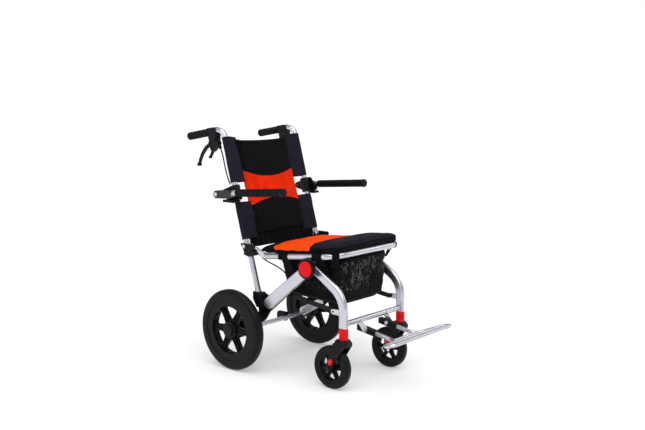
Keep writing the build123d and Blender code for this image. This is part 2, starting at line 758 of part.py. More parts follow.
def make_armrest_pad(side):
    x = side * ARM_X
    with BuildPart() as armrest_pad:
        tube([(x, *arm_point(26.5)), (x, *arm_point(ARM_END - 12))], None, 14.5)
        tube([(x, *arm_point(ARM_END - 14)), (x, *arm_point(ARM_END))], None, 15.5)
        tube([(x, *arm_point(20)), (x, *arm_point(ARM_END - 8))], None, 8, mode=Mode.SUBTRACT)
    save(armrest_pad, f"armrest_pad_{SIDE_NAME[side]}")


# ---------------------------------------------------------------- handles and brakes
def make_handle_grips():
    with BuildPart() as handle_grips:
        for side in SIDES:
            x = side * BACK_TUBE_X
            tube([(x, *grip_point(154)), (x, *grip_point(266))], None, 15)
            tube([(x, *grip_point(154)), (x, *grip_point(160))], None, 17)
            tube([(x, *grip_point(140)), (x, *grip_point(262))], None, TUBE_R, mode=Mode.SUBTRACT)
    save(handle_grips, "handle_grips")


LEVER_PIVOT = (fore(-143), 840.0)
LATCH_PIVOT = (fore(-131), 816.0)


def make_brake_clamps():
    """Clamp round the handle with the lever's body hanging below it."""
    with BuildPart() as brake_clamps:
        for side in SIDES:
            x_in, x_out = BACK_TUBE_X - 14, BACK_TUBE_X + 14
            hull_plate(
                side, x_in, x_out,
                [(fore(-123), 885, 15), (fore(-135), 883, 15), (fore(-135), 856, 10), (fore(-118), 858, 10)],
            )
            hull_plate(
                side, BACK_TUBE_X - 9, BACK_TUBE_X + 9,
                [(fore(-118), 862, 8), (*LEVER_PIVOT, 9), (*LATCH_PIVOT, 8), (fore(-106), 840, 8)],
            )
            slot = [(fore(-124), 800), (fore(-170), 800), (fore(-170), 857), (fore(-124), 857)]
            outline_plate(side, BACK_TUBE_X - 4, BACK_TUBE_X + 4, slot, 2, Mode.SUBTRACT)
            exit_point, next_point = (Vector(*point) for point in upper_cable_points(side)[:2])
            barrel = exit_point - (next_point - exit_point).normalized() * 24
            tube([tuple(barrel), tuple(exit_point)], None, 6)
            tube(back_tube_points(side), BACK_BEND, TUBE_R, mode=Mode.SUBTRACT)
            disc(side, BACK_TUBE_X - 10.5, BACK_TUBE_X + 10.5, *LEVER_PIVOT, 3)
            disc(side, BACK_TUBE_X - 10.5, BACK_TUBE_X + 10.5, *LATCH_PIVOT, 2.5)
    save(brake_clamps, "brake_clamps")


def make_brake_lever(side):
    x_in, x_out = BACK_TUBE_X - 3.6, BACK_TUBE_X + 3.6
    with BuildPart() as brake_lever:
        points = [LEVER_PIVOT, (fore(-172), 822), (fore(-194), 797), (fore(-206), 774), (fore(-212), 757)]
        for start, stop, r_a, r_b in zip(points, points[1:], (7, 6.5, 6, 5.5), (6.5, 6, 5.5, 5)):
            hull_plate(side, x_in, x_out, [(*start, r_a), (*stop, r_b)])
        disc(side, BACK_TUBE_X - 6, BACK_TUBE_X + 6, *points[-1], 7)
        disc(side, x_in, x_out, *LEVER_PIVOT, 3 + RUN, mode=Mode.SUBTRACT)
    save(brake_lever, f"brake_lever_{SIDE_NAME[side]}")


def make_parking_latch(side):
    x_in, x_out = BACK_TUBE_X - 3.6, BACK_TUBE_X + 3.6
    tip = (fore(-150), 787)
    with BuildPart() as parking_latch:
        hull_plate(side, x_in, x_out, [(*LATCH_PIVOT, 6), (*tip, 3.5)])
        disc(side, BACK_TUBE_X - 5, BACK_TUBE_X + 5, *tip, 5)
        disc(side, x_in, x_out, *LATCH_PIVOT, 2.5 + RUN, mode=Mode.SUBTRACT)
    save(parking_latch, f"parking_latch_{SIDE_NAME[side]}")


def upper_cable_points(side):
    x = side * BACK_TUBE_X
    return [
        (x, fore(-94), 822), (x + side * 3, fore(-80), 798), (x + side * 7, fore(-68), 768),
        (x + side * 10, fore(-56), 738), (x + side * 10, fore(-46), 710), (x + side * 8, fore(-36), 690),
    ]


def make_upper_brake_cables():
    with BuildPart() as upper_brake_cables:
        for side in SIDES:
            points = upper_cable_points(side)
            bends = easy_bends(points)
            tube(points, bends, CABLE_R)
    print("upper cable bends", [round(b) for b in bends])
    save(upper_brake_cables, "upper_brake_cables")


# ---------------------------------------------------------------- soft parts on the seat frame
SEAT_REAR, SEAT_FRONT = 88.0, 472.0
SEAT_HALF = 190.0
SEAT_THICK = 28.0


def make_seat_cushion():
    lift = TUBE_R / cos(radians(SEAT_SLOPE)) + 0.8
    front = seat_z(SEAT_FRONT) + lift
    with BuildPart() as seat_cushion:
        with BuildSketch(Plane.YZ.offset(-SEAT_HALF)):
            with BuildLine():
                Polyline(
                    (fore(SEAT_REAR), 461), (fore(SEAT_REAR + 42), seat_z(SEAT_REAR + 42) + lift),
                    (fore(SEAT_FRONT), front), (fore(SEAT_FRONT), front + SEAT_THICK),
                    (fore(SEAT_REAR + 56), 482), (fore(SEAT_REAR), 469), close=True,
                )
            make_face()
        extrude(amount=2 * SEAT_HALF)
        fillet(seat_cushion.edges().filter_by(Axis.Z).group_by(Axis.Y)[0], 42)
        for side in (-1, 1):
            tube(rail_points(side), RAIL_BENDS, TUBE_R + 5.5, mode=Mode.SUBTRACT)
    save(seat_cushion, "seat_cushion")


BAG_HALF = 132.0
BAG_TOP = ((140.0, 424.0), (440.0, 448.0))     # rear and front rim: forward distance, height
BAG_LOW = ((182.0, 300.0), (436.0, 287.0))
BAG_WALL = 3.0


def bag_solid(inset, mode):
    """Tapered sack between its rim and its floor."""
    (rear_top, z_a), (front_top, z_b) = BAG_TOP
    (rear_low, z_c), (front_low, z_d) = BAG_LOW
    grow = 4 if inset else 0
    with BuildSketch(Plane.YZ.offset(-BAG_HALF + inset)) as side_view:
        with BuildLine():
            Polyline(
                (fore(rear_top + inset), z_a + grow), (fore(front_top - inset), z_b + grow),
                (fore(front_low - inset), z_d + inset), (fore(rear_low + inset), z_c + inset), close=True,
            )
        make_face()
        fillet(side_view.vertices().group_by(Axis.Y)[0] + side_view.vertices().group_by(Axis.Y)[1], 24)
    extrude(side_view.sketch, amount=2 * (BAG_HALF - inset), mode=mode)


def make_storage_bag():
    with BuildPart() as storage_bag:
        bag_solid(0, Mode.ADD)
        bag_solid(BAG_WALL, Mode.SUBTRACT)
    save(storage_bag, "storage_bag")


def make_bag_loops():
    """Webbing loops that hang the bag from the seat rails."""
    with BuildPart() as bag_loops:
        for side in SIDES:
            for forward in (220, 378):
                y, z = fore(forward), seat_z(forward)
                lean = radians(SEAT_SLOPE)
                plane = Plane(origin=(side * RAIL_X, y, z), x_dir=(1, 0, 0), z_dir=(0, -cos(lean), sin(lean)))
                with BuildSketch(plane):
                    Circle(TUBE_R + 1.6)
                    Circle(TUBE_R + RUN, mode=Mode.SUBTRACT)
                extrude(amount=14, both=True)
                tail = Plane(origin=(side * 155, y, z - 14), x_dir=(1, 0, 0))
                with BuildSketch(tail):
                    Rectangle(2, 28)
                extrude(amount=-16)
            corner = Plane(
                origin=(side * 168, fore(441), seat_z(441)), x_dir=(0, 0, 1), z_dir=(side * -1, -1, 0)
            )
            with BuildSketch(corner):
                Circle(TUBE_R + 3.8)
                Circle(TUBE_R + 2.2, mode=Mode.SUBTRACT)
            extrude(amount=12, both=True)
    save(bag_loops, "bag_loops")


def main():
    os.makedirs("parts", exist_ok=True)
    make_seat_cross_tubes()
    make_seat_hangers()
    make_lower_uprights()
    make_hinge_brackets()
    make_rear_brackets()
    make_rear_axle_frame()
    make_tip_pedals()
    make_brake_drums()
    make_frame_bolts()
    make_pivot_rings()
    make_lower_brake_cables()
    make_front_cross_tube()
    make_caster_collars()
    make_front_stays()
    make_rear_stays()
    make_footrest_sleeves()
    make_footplate()
    make_back_cross_tube()
    make_back_panel()
    make_back_sleeves()
    make_back_skirt()
    make_armrest_brackets()
    make_handle_grips()
    make_brake_clamps()
    make_upper_brake_cables()
    make_seat_cushion()
    make_storage_bag()
    make_bag_loops()
    for side in SIDES:
        make_seat_rail(side)
        make_rear_leg(side)
        make_brake_arm(side)
        make_release_button(side)
        make_front_leg(side)
        make_caster_fork(side)
        make_caster_axle(side)
        make_caster_wheel(side)
        make_rear_wheel(side)
        make_back_tube(side)
        make_armrest_frame(side)
        make_armrest_pad(side)
        make_brake_lever(side)
        make_parking_latch(side)


main()
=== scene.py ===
import json
from math import cos, exp, pi, radians, sin, sqrt, tan

import bmesh
import bpy
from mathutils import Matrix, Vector, noise


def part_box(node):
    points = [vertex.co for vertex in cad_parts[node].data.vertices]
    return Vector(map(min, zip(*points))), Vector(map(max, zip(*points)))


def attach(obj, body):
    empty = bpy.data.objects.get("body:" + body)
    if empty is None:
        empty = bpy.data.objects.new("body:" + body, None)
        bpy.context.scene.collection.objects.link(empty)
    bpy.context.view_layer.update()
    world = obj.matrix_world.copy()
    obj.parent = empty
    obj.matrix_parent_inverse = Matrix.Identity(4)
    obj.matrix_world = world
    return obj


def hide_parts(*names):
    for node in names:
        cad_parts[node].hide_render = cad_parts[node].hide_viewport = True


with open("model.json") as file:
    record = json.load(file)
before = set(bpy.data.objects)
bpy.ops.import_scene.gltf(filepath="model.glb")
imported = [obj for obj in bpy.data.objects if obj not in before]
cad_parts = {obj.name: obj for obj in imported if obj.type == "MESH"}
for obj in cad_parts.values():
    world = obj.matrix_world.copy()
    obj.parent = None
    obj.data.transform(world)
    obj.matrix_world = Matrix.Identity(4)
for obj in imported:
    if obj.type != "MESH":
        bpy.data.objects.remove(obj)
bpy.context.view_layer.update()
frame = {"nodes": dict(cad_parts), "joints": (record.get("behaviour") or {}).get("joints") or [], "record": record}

# Folding travel wheelchair, metres, in the row's frame: +Z up, the chair faces -Y.

# ------------------------------------------------------------------ places from the frame
JOINT = {joint["name"]: joint for joint in frame["joints"]}
AXLE = Vector(JOINT["rear_wheel_spin_left"]["pos_m"])
HINGE = Vector(JOINT["back_fold"]["pos_m"])
SIDES = (("left", 1), ("right", -1))

RECLINE = radians(15.4)
BACK_UP = Vector((0, sin(RECLINE), cos(RECLINE)))
BACK_AFT = Vector((0, cos(RECLINE), -sin(RECLINE)))
SEAT_SLOPE = radians(6.15)
BACK_TUBE_X = 0.194
RAIL_X = 0.185
RAIL_REAR, RAIL_REAR_Z = 0.124, 0.437
CROSS_TUBE_Z = sum(corner.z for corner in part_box("back_cross_tube")) / 2
CROSS_TUBE_REACH = 0.013  # how far above and below it the cloth over the tube rises
TUBE_R = 0.011


def fore(distance):
    """Y of a point this far forward of the rear axle."""
    return AXLE.y - distance


def on_back(x, height, aft=0.0):
    """Point at this height of the backrest tubes' plane, shifted behind it."""
    rise = (height - HINGE.z) / cos(RECLINE)
    return Vector((x, HINGE.y, HINGE.z)) + BACK_UP * rise + BACK_AFT * aft


def rail_z(distance):
    """Height of the seat rail's centre line."""
    return RAIL_REAR_Z + (distance - RAIL_REAR) * tan(SEAT_SLOPE)


def smooth(edge_low, edge_high, value):
    """S-shaped step from 0 at the first edge to 1 at the second, which may be the lower one."""
    t = min(1.0, max(0.0, (value - edge_low) / (edge_high - edge_low)))
    return t * t * (3 - 2 * t)


# ------------------------------------------------------------------ camera
camera_data = bpy.data.cameras.new("camera")
camera = bpy.data.objects.new("camera", camera_data)
bpy.context.scene.collection.objects.link(camera)
bpy.context.scene.camera = camera
CAMERA_AT = Vector((-2.5204, AXLE.y - 2.3728, 1.0207))
CAMERA_AZIMUTH, CAMERA_DIP = radians(-49.77), radians(7.61)
look = Vector((
    -sin(CAMERA_AZIMUTH) * cos(CAMERA_DIP), cos(CAMERA_AZIMUTH) * cos(CAMERA_DIP), -sin(CAMERA_DIP),
))
camera.location = CAMERA_AT
camera.rotation_euler = look.to_track_quat("-Z", "Y").to_euler()
camera_data.sensor_width = 36.0
camera_data.lens = 50.25


# ------------------------------------------------------------------ node helpers
class Nodes:
    """Short names for the node tree of one material."""

    def __init__(self, name, **sockets):
        self.material = bpy.data.materials.new(name)
        self.material.use_nodes = True
        self.tree = self.material.node_tree
        self.shader = self.tree.nodes["Principled BSDF"]
        for socket, value in sockets.items():
            self.shader.inputs[socket.replace("_", " ")].default_value = value
        coordinates = self.tree.nodes.new("ShaderNodeTexCoord")
        self.place = coordinates.outputs["Object"]

    def link(self, value, socket):
        if isinstance(value, bpy.types.NodeSocket):
            self.tree.links.new(value, socket)
        else:
            socket.default_value = value

    def math(self, operation, first, second=0.0, third=0.0, clamp=False):
        node = self.tree.nodes.new("ShaderNodeMath")
        node.operation = operation
        node.use_clamp = clamp
        for socket, value in zip(node.inputs, (first, second, third)):
            self.link(value, socket)
        return node.outputs[0]

    def axes(self):
        node = self.tree.nodes.new("ShaderNodeSeparateXYZ")
        self.link(self.place, node.inputs[0])
        return node.outputs

    def facing_up(self):
        """1 where the surface looks straight up, 0 on an upright wall."""
        geometry = self.tree.nodes.new("ShaderNodeNewGeometry")
        node = self.tree.nodes.new("ShaderNodeSeparateXYZ")
        self.link(geometry.outputs["Normal"], node.inputs[0])
        return node.outputs[2]

    def stretched(self, scale):
        node = self.tree.nodes.new("ShaderNodeMapping")
        self.link(self.place, node.inputs["Vector"])
        node.inputs["Scale"].default_value = scale
        return node.outputs[0]

    def noise(self, scale, detail=2.0, stretch=None, roughness=0.5):
        node = self.tree.nodes.new("ShaderNodeTexNoise")
        self.link(self.stretched(stretch) if stretch else self.place, node.inputs["Vector"])
        node.inputs["Scale"].default_value = scale
        node.inputs["Detail"].default_value = detail
        node.inputs["Roughness"].default_value = roughness
        return node.outputs["Fac"]

    def cells(self, scale):
        node = self.tree.nodes.new("ShaderNodeTexVoronoi")
        self.link(self.place, node.inputs["Vector"])
        node.inputs["Scale"].default_value = scale
        return node.outputs["Distance"]

    def spread(self, value, low, high, to_low, to_high):
        node = self.tree.nodes.new("ShaderNodeMapRange")
        node.interpolation_type = "SMOOTHSTEP"
        for socket, item in zip(node.inputs, (value, low, high, to_low, to_high)):
            self.link(item, socket)
        return node.outputs[0]

    def mix(self, factor, low, high):
        node = self.tree.nodes.new("ShaderNodeMix")
        node.data_type = "RGBA"
        colours = [socket for socket in node.inputs if socket.type == "RGBA"]
        self.link(factor, node.inputs["Factor"])
        self.link(low if isinstance(low, bpy.types.NodeSocket) else (*low, 1), colours[0])
        self.link(high if isinstance(high, bpy.types.NodeSocket) else (*high, 1), colours[1])
        return [socket for socket in node.outputs if socket.type == "RGBA"][0]

    def colour(self, value):
        self.link(value, self.shader.inputs["Base Color"])

    def rough(self, value, low, high):
        self.link(self.spread(value, 0.25, 0.75, low, high), self.shader.inputs["Roughness"])

    def specular(self, level):
        self.shader.inputs["Specular IOR Level"].default_value = level

    def bump(self, height, distance, strength=1.0):
        """Adds a relief on top of the ones that the material has."""
        node = self.tree.nodes.new("ShaderNodeBump")
        node.inputs["Distance"].default_value = distance
        node.inputs["Strength"].default_value = strength
        self.link(height, node.inputs["Height"])
        previous = self.shader.inputs["Normal"]
        if previous.is_linked:
            self.tree.links.new(previous.links[0].from_socket, node.inputs["Normal"])
        self.tree.links.new(node.outputs[0], previous)

    def weave(self, pitch, axes=(0, 1)):
        """Plain weave: threads over and under along two axes of the row frame."""
        spots = self.axes()
        turns = 2 * pi / pitch
        first = self.math("SINE", self.math("MULTIPLY", spots[axes[0]], turns))
        second = self.math("SINE", self.math("MULTIPLY", spots[axes[1]], turns))
        return self.math("MULTIPLY_ADD", self.math("MULTIPLY", first, second), 0.5, 0.5)


# ------------------------------------------------------------------ hard materials
BLACK_TONES = ((0.003, 0.003, 0.004), (0.007, 0.007, 0.008))
BARE_METAL = ((0.54, 0.53, 0.59), (0.66, 0.65, 0.71))
RED_TONES = ((0.66, 0.001, 0.004), (0.80, 0.002, 0.007))
CAP_LOW = 0.088           # the fork's red cap starts at this height
HOUSING_FRONT = 0.010     # the armrest's housing ends this far forward of the rear axle
HOUSING_OUTER = 0.2442    # and at this distance from the middle of the chair
EDGE = 0.0002             # half the width of the line between two colours
MATT, DULL, PLAIN, GLOSSY = 0.05, 0.10, 0.14, 0.30


def aluminium():
    """Drawn tube: broad clouds and fine lines along it."""
    nodes = Nodes("anodised aluminium", Metallic=1.0)
    broad = nodes.noise(14, 3)
    fine = nodes.noise(60, 4, (1, 1, 14))
    nodes.colour(nodes.mix(broad, *BARE_METAL))
    nodes.rough(fine, 0.24, 0.38)
    nodes.bump(nodes.noise(900, 3), 0.0003, 0.12)
    return nodes.material


def steel():
    """Bright plated bolts and pins."""
    nodes = Nodes("zinc plated steel", Metallic=1.0)
    nodes.colour(nodes.mix(nodes.noise(120, 4), (0.42, 0.42, 0.43), (0.66, 0.66, 0.67)))
    nodes.rough(nodes.noise(300, 3), 0.2, 0.42)
    nodes.bump(nodes.noise(1500, 2), 0.0002, 0.2)
    return nodes.material


def moulded(name, low, high, shine_low, shine_high, grain=1400, depth=0.25):
    """Moulded plastic: fine spark texture, a little dust and handling wear."""
    nodes = Nodes(name)
    handled = nodes.noise(35, 4)
    nodes.colour(nodes.mix(nodes.spread(handled, 0.35, 0.75, 0, 1), low, high))
    nodes.rough(nodes.noise(90, 3), shine_low, shine_high)
    nodes.bump(nodes.noise(grain, 2), 0.0004, depth)
    nodes.specular(PLAIN)
    return nodes.material


def cap_and_axle():
    """Red cap on the fork leg over the black head of the axle."""
    nodes = Nodes("fork cap and axle head", Roughness=0.35)
    nodes.specular(GLOSSY)
    tone = nodes.noise(60, 3)
    z = nodes.axes()[2]
    red = nodes.mix(tone, *RED_TONES)
    black = nodes.mix(tone, *BLACK_TONES)
    nodes.colour(nodes.mix(nodes.spread(z, CAP_LOW - EDGE, CAP_LOW + EDGE, 0, 1), black, red))
    nodes.rough(nodes.noise(90, 3), 0.3, 0.42)
    nodes.bump(nodes.noise(1300, 2), 0.0003, 0.2)
    return nodes.material


def housing_and_bar():
    """Black housing round the armrest's pivot, bare bar ahead of it."""
    nodes = Nodes("armrest housing and bar")
    x, y = nodes.axes()[:2]
    behind = nodes.spread(y, fore(HOUSING_FRONT + 2 * EDGE), fore(HOUSING_FRONT - 2 * EDGE), 0, 1)
    inboard = nodes.spread(nodes.math("ABSOLUTE", x), HOUSING_OUTER - EDGE, HOUSING_OUTER + EDGE, 1, 0)
    housing = nodes.math("MULTIPLY", behind, inboard)
    tone = nodes.noise(40, 3)
    black = nodes.mix(tone, *BLACK_TONES)
    bare = nodes.mix(tone, *BARE_METAL)
    nodes.colour(nodes.mix(housing, bare, black))
    nodes.link(nodes.math("SUBTRACT", 1.0, housing), nodes.shader.inputs["Metallic"])
    nodes.rough(nodes.noise(90, 3), 0.28, 0.42)
    nodes.bump(nodes.noise(1200, 2), 0.0003, 0.2)
    return nodes.material


def powder_coat():
    """Satin black paint on the stays and small brackets."""
    nodes = Nodes("black powder coat", Coat_Weight=0.1, Coat_Roughness=0.25)
    nodes.specular(PLAIN)
    nodes.colour(nodes.mix(nodes.noise(40, 3), *BLACK_TONES))
    nodes.rough(nodes.noise(200, 3), 0.32, 0.48)
    nodes.bump(nodes.noise(700, 2), 0.0003, 0.3)
    return nodes.material


def tyre_rubber(name, node):
    """Solid tyre with fine grooves running round its tread."""
    low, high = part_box(node)
    centre_x = (low.x + high.x) / 2
    nodes = Nodes(name)
    x = nodes.axes()[0]
    off_centre = nodes.math("ABSOLUTE", nodes.math("SUBTRACT", x, centre_x))
    dust = nodes.noise(30, 5)
    dusty = nodes.spread(dust, 0.35, 0.8, 0, 1)
    nodes.colour(nodes.mix(dusty, (0.003, 0.003, 0.004), (0.007, 0.007, 0.007)))
    nodes.specular(PLAIN)
    nodes.rough(dust, 0.30, 0.46)
    groove_pitch = 0.0045
    grooves = nodes.math("SINE", nodes.math("MULTIPLY", off_centre, 2 * pi / groove_pitch))
    on_tread = nodes.spread(off_centre, 0.009, 0.012, 1, 0)
    nodes.bump(nodes.math("MULTIPLY", grooves, on_tread), 0.0006, 0.8)
    nodes.bump(nodes.noise(1100, 2), 0.0003, 0.3)
    return nodes.material


def foam():
    """Closed skin of fine cells, slightly uneven."""
    nodes = Nodes("closed cell foam")
    nodes.specular(DULL)
    nodes.colour(nodes.mix(nodes.noise(45, 4), *BLACK_TONES))
    nodes.rough(nodes.noise(150, 3), 0.55, 0.8)
    nodes.bump(nodes.cells(1300), 0.0004, 0.5)
    nodes.bump(nodes.noise(160, 3), 0.0006, 0.35)
    return nodes.material


# ------------------------------------------------------------------ fabrics
def fabric(name, low, high, pitch=0.0011, axes=(0, 1)):
    """Nylon cloth: weave, soft creases and uneven dye."""
    nodes = Nodes(name, Sheen_Weight=0.008, Sheen_Roughness=0.4)
    nodes.specular(MATT)
    uneven = nodes.spread(nodes.noise(22, 5), 0.3, 0.7, 0, 1)
    nodes.colour(nodes.mix(uneven, low, high))
    nodes.rough(uneven, 0.62, 0.8)
    nodes.bump(nodes.noise(70, 4), 0.002, 0.25)
    nodes.bump(nodes.weave(pitch, axes), 0.0003, 0.5)
    return nodes


def two_tone(nodes, mask, low, high, seam):
    """Dyed panel inside the mask over the base cloth, with a stitched seam at its edge."""
    uneven = nodes.spread(nodes.noise(26, 4), 0.3, 0.7, 0, 1)
    base = nodes.shader.inputs["Base Color"].links[0].from_socket
    nodes.colour(nodes.mix(mask, base, nodes.mix(uneven, low, high)))
    nodes.bump(seam, 0.0012, 0.8)
    return nodes.material


def stitching(nodes, distance, along, pitch):
    """Dashes of thread where the distance from the seam is close to nothing."""
    dash = nodes.math("SINE", nodes.math("MULTIPLY", along, 2 * pi / pitch))
    line = nodes.spread(distance, 0.0004, 0.0009, 1, 0)
    return nodes.math("MULTIPLY", line, nodes.math("GREATER_THAN", dash, -0.3))


BLACK_CLOTH = ((0.0020, 0.0020, 0.0028), (0.0045, 0.0045, 0.0058))
CHARCOAL = ((0.010, 0.009, 0.016), (0.016, 0.0145, 0.025))
SEAT_ORANGE = ((0.80, 0.052, 0.001), (0.92, 0.074, 0.002))
BACK_RED = ((0.64, 0.016, 0.0006), (0.78, 0.026, 0.001))

# ------------------------------------------------------------------ seat and back layout
ORANGE_REAR, ORANGE_FRONT = 0.152, 0.337
ORANGE_HALF = 0.186
ORANGE_CORNER = 0.030
PANEL_HALF = 0.147
BAND_HALF = 0.137
BAND_TOP, BAND_TOP_RISE = 0.712, 0.030
BAND_BOTTOM, BAND_BOTTOM_DROP = 0.632, 0.027
BORDER_HALF, BORDER_TOP, BORDER_LOW = 0.131, 0.847, 0.506
LEAN, LEAN_FROM, LEAN_TO = 0.012, 0.57, 0.86
SLEEVES = (("lower", 0.490, 0.6262), ("upper", 0.6968, 0.866))
BAG_BAND_TOP = 0.338      # the bag is solid cloth below this height
DYE_EDGE = 0.0006         # half the width of the line between two dyes
SEAM_OUT = 0.003          # distance of the stitching from the dyed panel's edge


def seat_cloth():
    """Black cushion cover with a charcoal front and an orange panel with rounded rear corners."""
    nodes = fabric("seat cover", *BLACK_CLOTH)
    x, y = nodes.axes()[:2]
    across = nodes.math("SUBTRACT", nodes.math("ABSOLUTE", x), ORANGE_HALF - ORANGE_CORNER)
    behind = nodes.math("SUBTRACT", y, fore(ORANGE_REAR) - ORANGE_CORNER)
    corner = nodes.math(
        "SQRT",
        nodes.math(
            "ADD",
            nodes.math("POWER", nodes.math("MAXIMUM", across, 0.0), 2.0),
            nodes.math("POWER", nodes.math("MAXIMUM", behind, 0.0), 2.0),
        ),
    )
    inside = nodes.spread(corner, ORANGE_CORNER - DYE_EDGE, ORANGE_CORNER + DYE_EDGE, 1, 0)
    ahead = nodes.spread(y, fore(ORANGE_FRONT) - DYE_EDGE, fore(ORANGE_FRONT) + DYE_EDGE, 0, 1)
    upward = nodes.spread(nodes.facing_up(), 0.30, 0.42, 0, 1)
    pad_top = nodes.math("MULTIPLY", upward, nodes.math("SUBTRACT", 1.0, ahead))
    base = nodes.shader.inputs["Base Color"].links[0].from_socket
    nodes.colour(nodes.mix(pad_top, base, CHARCOAL[0]))
    mask = nodes.math("MULTIPLY", nodes.math("MULTIPLY", inside, ahead), upward)
    edge = nodes.math("ABSOLUTE", nodes.math("SUBTRACT", corner, ORANGE_CORNER + SEAM_OUT))
    return two_tone(nodes, mask, *SEAT_ORANGE, stitching(nodes, edge, nodes.math("ADD", x, y), 0.005))


def back_cloth():
    """Black cover with a red band between two arcs on the side that the occupant leans on."""
    nodes = fabric("back cover", *BLACK_CLOTH, axes=(0, 2))
    x, y, z = nodes.axes()
    bow = nodes.math("POWER", nodes.math("DIVIDE", nodes.math("ABSOLUTE", x), PANEL_HALF), 2.0)
    top = nodes.math("MULTIPLY_ADD", bow, BAND_TOP_RISE, BAND_TOP)
    bottom = nodes.math("MULTIPLY_ADD", bow, -BAND_BOTTOM_DROP, BAND_BOTTOM)
    under = nodes.math("SUBTRACT", top, z)
    over = nodes.math("SUBTRACT", z, bottom)
    nearest = nodes.math("MINIMUM", under, over)
    nearest = nodes.math("MINIMUM", nearest, nodes.math("SUBTRACT", BAND_HALF, nodes.math("ABSOLUTE", x)))
    plane = nodes.math("MULTIPLY_ADD", z, -tan(RECLINE), y)
    level = HINGE.y - HINGE.z * tan(RECLINE)
    leaning = nodes.spread(z, LEAN_FROM, LEAN_TO, level + 0.0020, level + 0.0020 + LEAN)
    front = nodes.math("LESS_THAN", plane, leaning)
    mask = nodes.math("MULTIPLY", front, nodes.spread(nearest, -DYE_EDGE, DYE_EDGE, 0, 1))
    seam_line = nodes.math("ABSOLUTE", nodes.math("ADD", nearest, SEAM_OUT))
    return two_tone(nodes, mask, *BACK_RED, stitching(nodes, seam_line, x, 0.0045))


def plain_cloth(name, tones, **weave):
    """Cloth with no panel of another colour."""
    return fabric(name, *tones, **weave).material


def mesh_cloth():
    """Fine open mesh with a painted highlight along its crinkles above a band of solid cloth."""
    nodes = fabric("bag mesh", (0.003, 0.003, 0.0035), (0.010, 0.010, 0.011), axes=(1, 2))
    y, z = nodes.axes()[1:]
    creases = nodes.noise(48, 6, (1, 1, 1.6), 0.7)
    # painted highlight: pale grey lines along noise veins, in patches, stand in for light caught by the crinkles
    patches = nodes.spread(nodes.noise(16, 2), 0.40, 0.58, 0, 1)
    veins = nodes.math("ABSOLUTE", nodes.math("SUBTRACT", nodes.noise(60, 3, (1, 1, 0.55), 0.6), 0.5))
    crinkle_highlight = nodes.math("MULTIPLY", nodes.spread(veins, 0.004, 0.034, 1, 0), patches)
    pitch = 2 * pi / 0.0028
    holes = nodes.math(
        "MULTIPLY",
        nodes.math("SINE", nodes.math("MULTIPLY", nodes.math("ADD", y, z), pitch)),
        nodes.math("SINE", nodes.math("MULTIPLY", nodes.math("SUBTRACT", y, z), pitch)),
    )
    open_part = nodes.spread(z, BAG_BAND_TOP - 0.001, BAG_BAND_TOP + 0.001, 0, 1)
    # the painted highlight is full strength at the front of the bag, falls to 0.35 of it at the rear and is
    # painted only on the open mesh
    ahead = nodes.spread(y, fore(0.425), fore(0.360), 1.0, 0.35)
    shown = nodes.math("MULTIPLY", nodes.math("MULTIPLY", crinkle_highlight, open_part), ahead)
    base = nodes.shader.inputs["Base Color"].links[0].from_socket
    nodes.colour(nodes.mix(shown, base, (0.16, 0.15, 0.145)))
    nodes.bump(nodes.math("MULTIPLY", holes, open_part), 0.0008, 0.8)
    nodes.bump(creases, 0.004, 0.6)
    return nodes.material


# ------------------------------------------------------------------ mesh helpers
def piece(name, vertices, faces, material, body):
    """Smooth mesh of one material that rides on a body."""
    data = bpy.data.meshes.new(name)
    data.from_pydata([tuple(spot) for spot in vertices], [], faces)
    shape = bmesh.new()
    shape.from_mesh(data)
    bmesh.ops.recalc_face_normals(shape, faces=shape.faces)
    shape.to_mesh(data)
    shape.free()
    item = bpy.data.objects.new(name, data)
    bpy.context.scene.collection.objects.link(item)
    data.materials.append(material)
    data.shade_smooth()
    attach(item, body)
    return item


def quads(rows, count, closed=False, open_loop=False):
    """Faces between neighbouring loops of count points each."""
    faces = []
    for row in range(rows if closed else rows - 1):
        here, after = row * count, (row + 1) % rows * count
        for step in range(count - 1 if open_loop else count):
            turn = (step + 1) % count
            faces.append((here + step, here + turn, after + turn, after + step))
    return faces


def rings(name, loops, material, body, cap=True, closed=False, open_loop=False):
    """Skin over a list of equal loops of points."""
    count = len(loops[0])
    vertices = [point for loop in loops for point in loop]
    faces = quads(len(loops), count, closed, open_loop)
    if cap and not closed:
        faces.append(tuple(range(count - 1, -1, -1)))
        faces.append(tuple((len(loops) - 1) * count + step for step in range(count)))
    return piece(name, vertices, faces, material, body)


def turned(name, start, end, profile, material, body, around=48):
    """Shape turned about the line from start to end; profile gives (distance along, radius)."""
    axis = (end - start).normalized()
    side = axis.orthogonal().normalized()
    other = axis.cross(side)
    loops = []
    for along, radius in profile:
        middle = start + axis * along
        loop = []
        for step in range(around):
            turn = 2 * pi * step / around
            loop.append(middle + side * (radius * cos(turn)) + other * (radius * sin(turn)))
        loops.append(loop)
    return rings(name, loops, material, body)


def apply_modifiers(item):
    """Keeps the mesh that the modifiers make, and takes the modifiers off."""
    shown = item.evaluated_get(bpy.context.evaluated_depsgraph_get())
    data = bpy.data.meshes.new_from_object(shown)
    old = item.data
    item.modifiers.clear()
    item.data = data
    data.name = old.name
    bpy.data.meshes.remove(old)


def thicken(item, thickness):
    """Gives a sheet its thickness, half of it on each side."""
    solid = item.modifiers.new("solid", "SOLIDIFY")
    solid.thickness = thickness
    solid.offset = 0.0
    apply_modifiers(item)
    item.data.shade_smooth()


def subdivide(item):
    """One rounding subdivision."""
    smoother = item.modifiers.new("smooth", "SUBSURF")
    smoother.levels = 1
    smoother.render_levels = 1
    apply_modifiers(item)
    item.data.shade_smooth()


